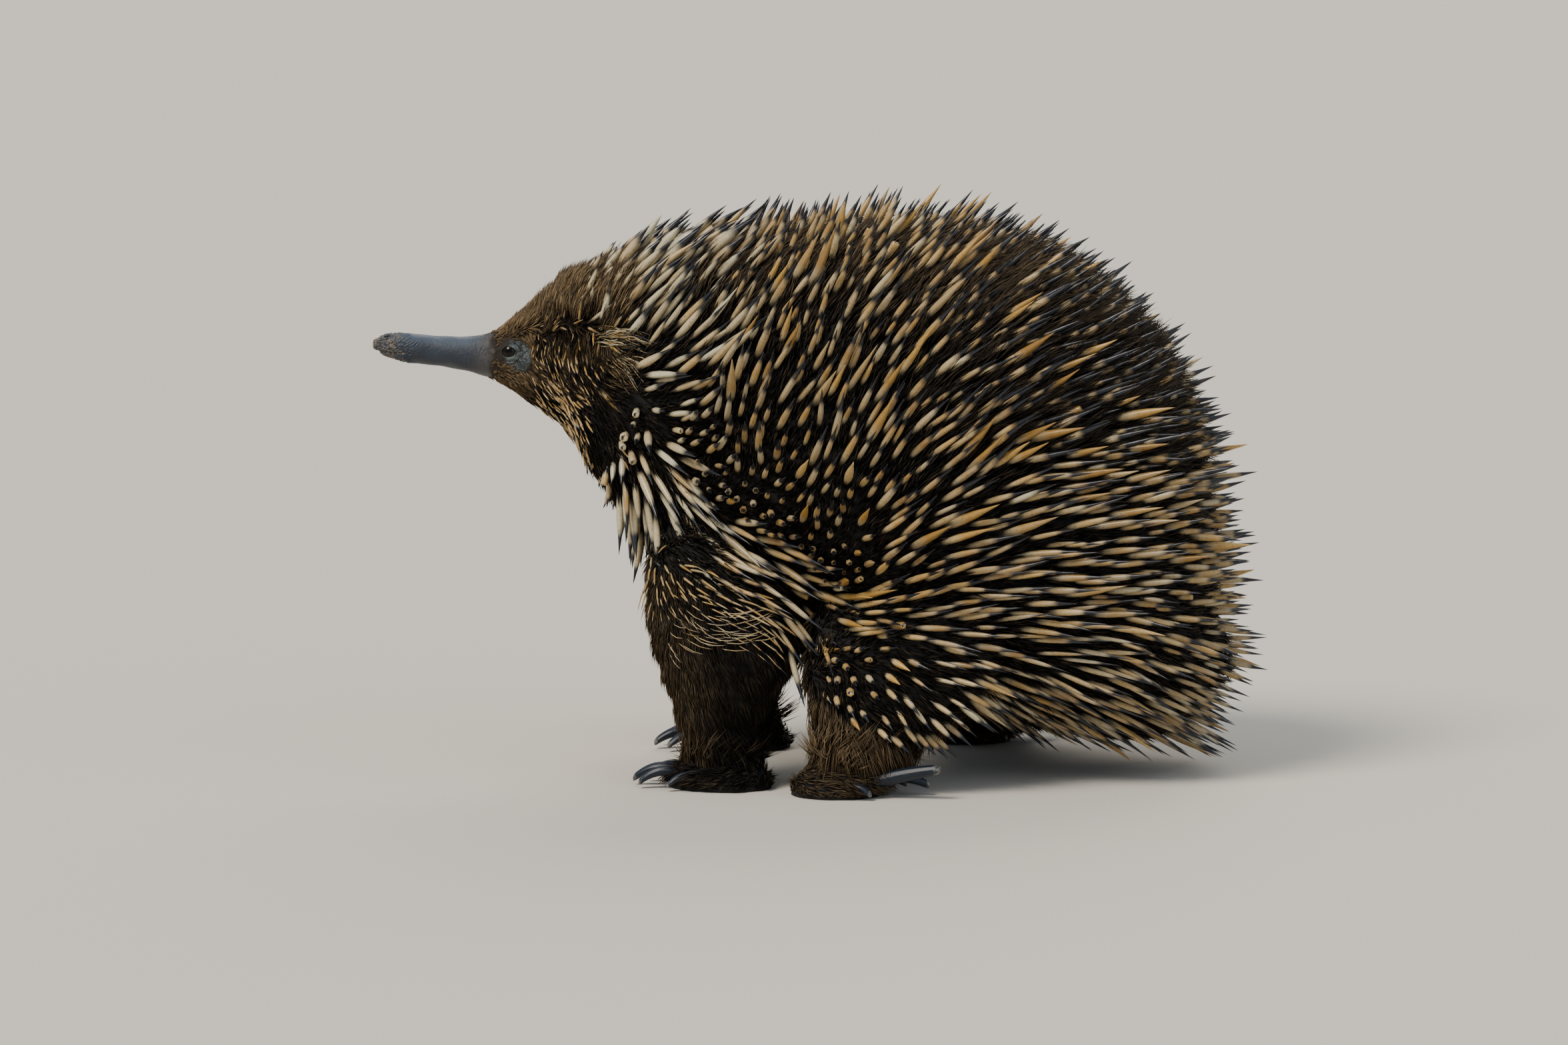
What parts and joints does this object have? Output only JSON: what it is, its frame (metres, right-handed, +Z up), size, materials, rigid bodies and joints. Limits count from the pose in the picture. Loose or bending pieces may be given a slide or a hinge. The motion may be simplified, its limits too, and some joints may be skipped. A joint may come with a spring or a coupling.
{
  "type": "echidna model",
  "caption": "Still, life-size model of a short-beaked echidna standing on all fours, with a long bare beak, a domed back of spines and long hind claws.",
  "frame": {"origin": "centre of the animal's bounding box, on the floor that it stands on", "axes": "+Z up; the beak points along -X, so the tail is towards +X; the animal's left side faces -Y"},
  "size_m": [0.395, 0.2328, 0.2596],
  "materials": {
    "beak_skin": "bare slate-blue skin, finely wrinkled, satin",
    "head_hide": "short fawn and brown fur",
    "spiny_coat": "golden horn spines with dark tips over dark brown fur",
    "ear_skin": "bare dark skin",
    "leg_fur": "dark brown fur",
    "foot_skin": "bare dark skin, matt",
    "claw_horn": "blue-black horn, satin",
    "eye": "wet and very dark"
  },
  "bodies": {
    "root": {"beak": "beak_skin", "head": "head_hide", "neck": "spiny_coat", "torso": "spiny_coat", "tail": "spiny_coat", "eye_left": "eye", "ear_left": "ear_skin", "foreleg_left": "leg_fur", "forefoot_left": "foot_skin", "hindleg_left": "leg_fur", "hindfoot_left": "foot_skin", "foreclaw_left_1": "claw_horn", "hindclaw_left_1": "claw_horn", "foreclaw_left_2": "claw_horn", "hindclaw_left_2": "claw_horn", "foreclaw_left_3": "claw_horn", "hindclaw_left_3": "claw_horn", "foreclaw_left_4": "claw_horn", "hindclaw_left_4": "claw_horn", "foreclaw_left_5": "claw_horn", "hindclaw_left_5": "claw_horn", "eye_right": "eye", "ear_right": "ear_skin", "foreleg_right": "leg_fur", "forefoot_right": "foot_skin", "hindleg_right": "leg_fur", "hindfoot_right": "foot_skin", "foreclaw_right_1": "claw_horn", "hindclaw_right_1": "claw_horn", "foreclaw_right_2": "claw_horn", "hindclaw_right_2": "claw_horn", "foreclaw_right_3": "claw_horn", "hindclaw_right_3": "claw_horn", "foreclaw_right_4": "claw_horn", "hindclaw_right_4": "claw_horn", "foreclaw_right_5": "claw_horn", "hindclaw_right_5": "claw_horn"}
  },
  "joints": []
}
